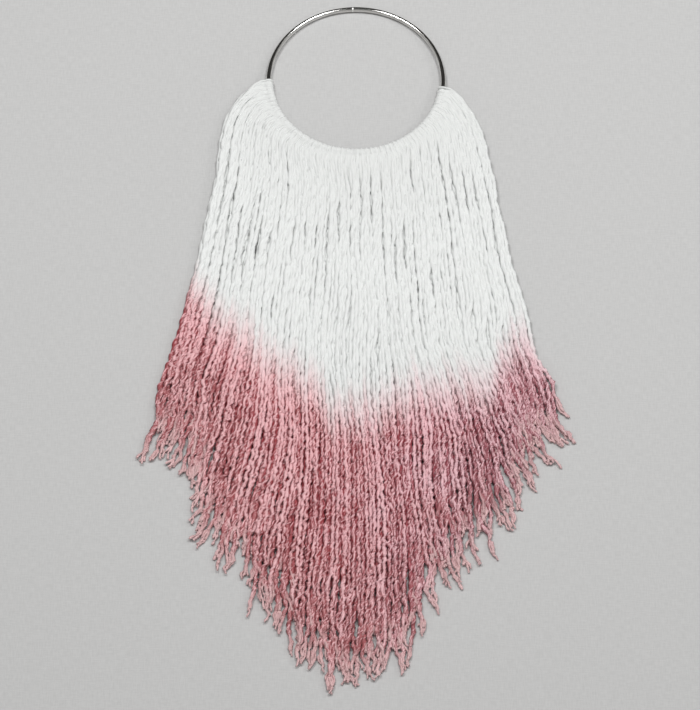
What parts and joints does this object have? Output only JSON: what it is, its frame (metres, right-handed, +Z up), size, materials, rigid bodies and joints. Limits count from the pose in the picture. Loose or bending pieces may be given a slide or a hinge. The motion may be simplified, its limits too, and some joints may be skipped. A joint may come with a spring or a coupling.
{
  "type": "macrame fringe on a metal hoop",
  "caption": "Flat-laid macrame hanging: a round plated wire hoop with lark's-head hitches along its lower half and a long dip-dyed yarn fringe cut to an uneven V.",
  "frame": {"origin": "middle of the part's footprint, on the surface it lies on", "axes": "+Y from the fringe's tips to the top of the hoop, +X to the right seen from above, +Z up from the surface"},
  "size_m": [0.416, 0.746, 0.0125],
  "materials": {
    "hoop": "bright nickel-plated steel wire with fine drawing marks",
    "yarn": "soft twisted bulky yarn, off-white above and dusty rose below a soft dye line, frayed tips"
  },
  "bodies": {
    "root": {"hoop": "hoop", "hitch_01": "yarn", "hitch_02": "yarn", "hitch_03": "yarn", "hitch_04": "yarn", "hitch_05": "yarn", "hitch_06": "yarn", "hitch_07": "yarn", "hitch_08": "yarn", "hitch_09": "yarn", "hitch_10": "yarn", "hitch_11": "yarn", "hitch_12": "yarn", "hitch_13": "yarn", "hitch_14": "yarn", "hitch_15": "yarn", "hitch_16": "yarn", "hitch_17": "yarn", "hitch_18": "yarn", "hitch_19": "yarn", "hitch_20": "yarn", "hitch_21": "yarn", "hitch_22": "yarn", "hitch_23": "yarn", "hitch_24": "yarn", "hitch_25": "yarn", "hitch_26": "yarn", "hitch_27": "yarn"}
  },
  "joints": []
}
